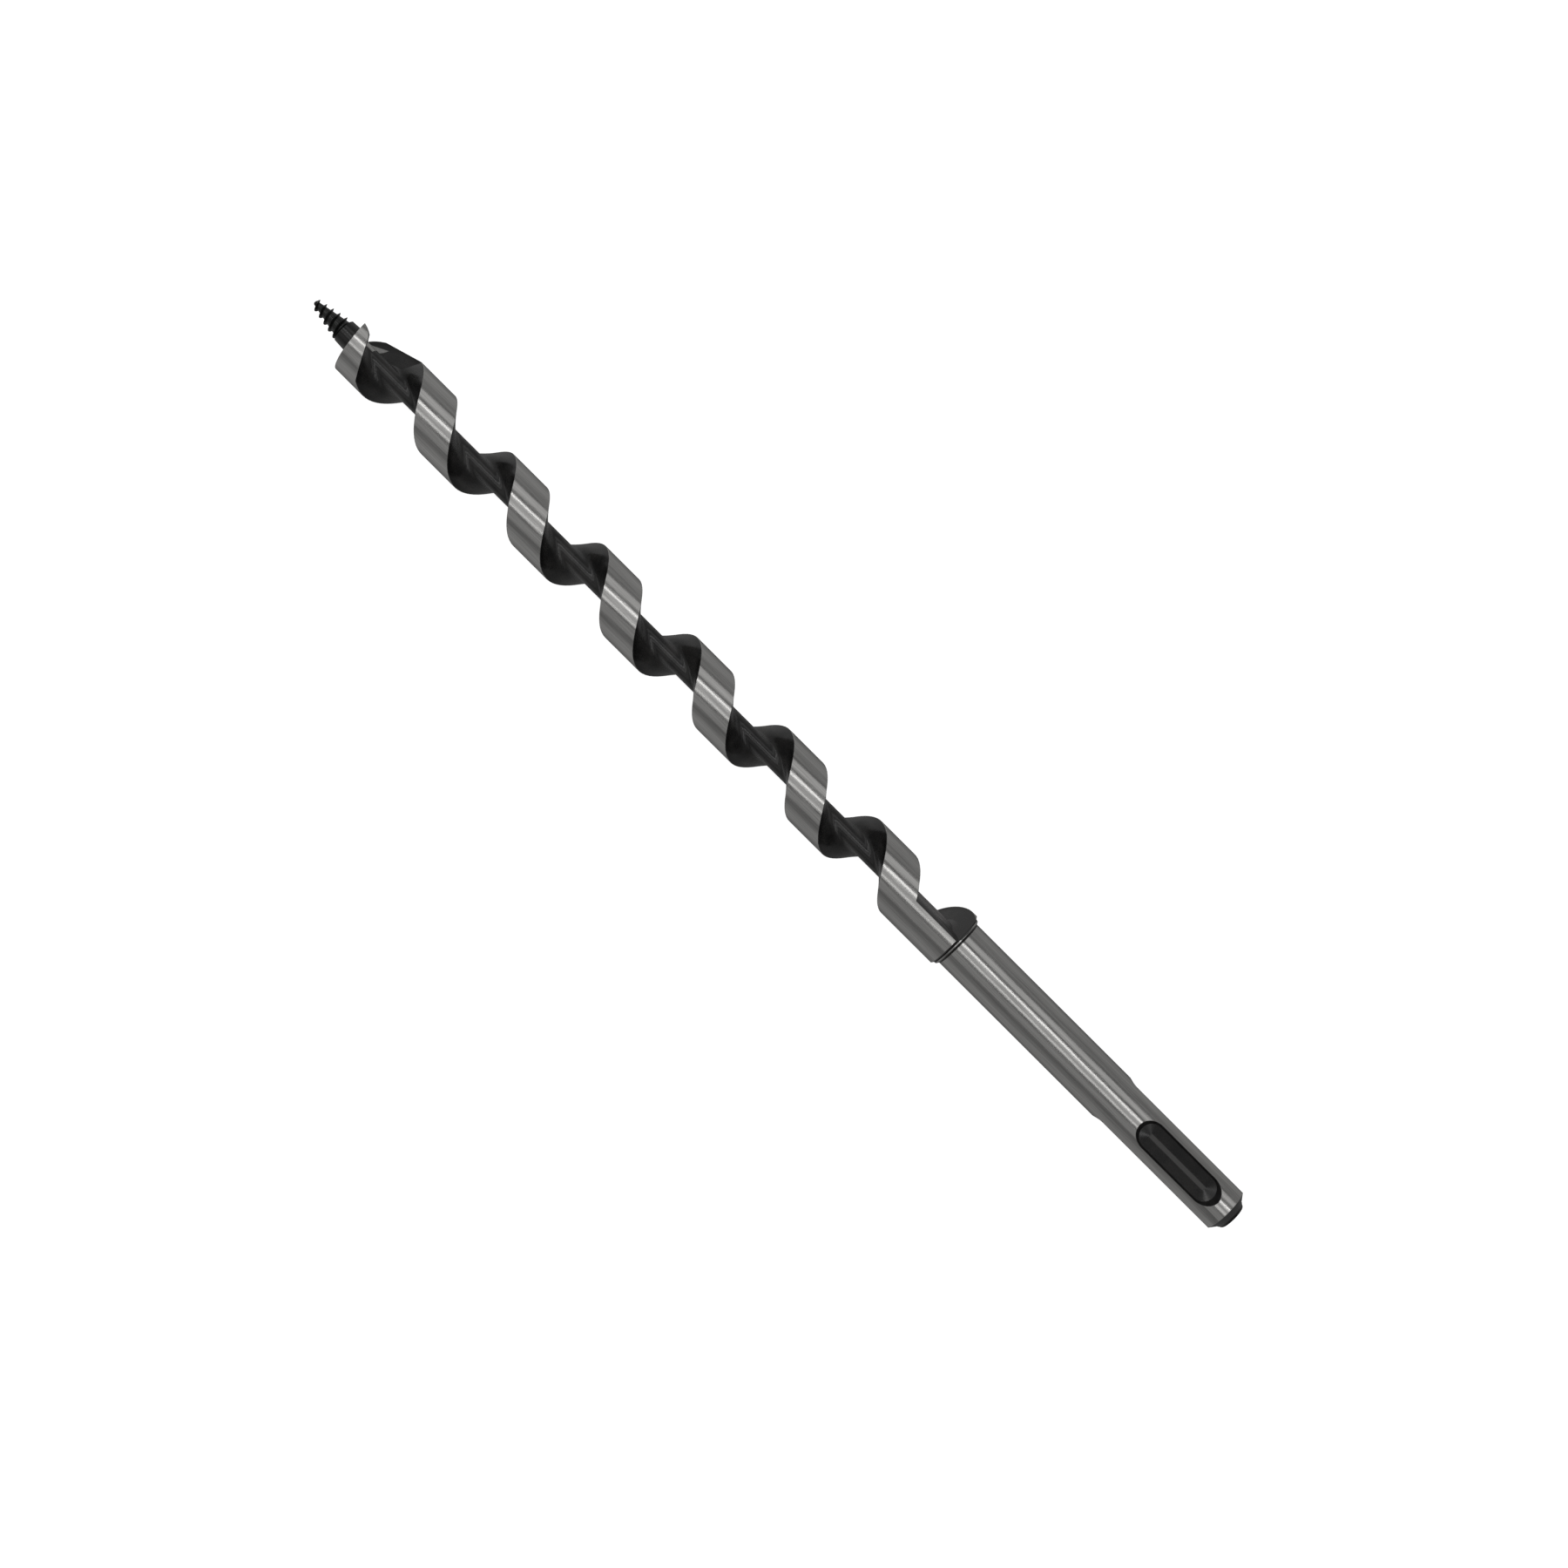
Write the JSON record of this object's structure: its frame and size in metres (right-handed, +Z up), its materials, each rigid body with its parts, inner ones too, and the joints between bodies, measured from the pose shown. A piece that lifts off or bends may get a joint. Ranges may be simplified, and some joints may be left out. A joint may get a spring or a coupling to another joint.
{
  "type": "wood auger bit",
  "caption": "Single-flute wood auger bit with a threaded feed screw, spur and cutting lip, and a slotted 10 mm shank for a rotary hammer drill.",
  "frame": {"origin": "centre of the striking face at the end of the shank, on the axis of rotation", "axes": "+X along the axis of rotation towards the feed screw, +Z up through one retention groove, +Y to the left of it through one drive slot"},
  "size_m": [0.241, 0.0122, 0.0122],
  "materials": {
    "black_oxide_steel": "black oxide, slightly glossy",
    "ground_carbon_steel": "centreless-ground lands, black oxide flute",
    "turned_weld_steel": "fine turned",
    "ground_shank_steel": "ground, with black oxide in the milled grooves and on the end"
  },
  "bodies": {
    "root": {"feed_screw": "black_oxide_steel", "auger_body": "ground_carbon_steel", "weld_ring": "turned_weld_steel", "shank": "ground_shank_steel"}
  },
  "joints": []
}
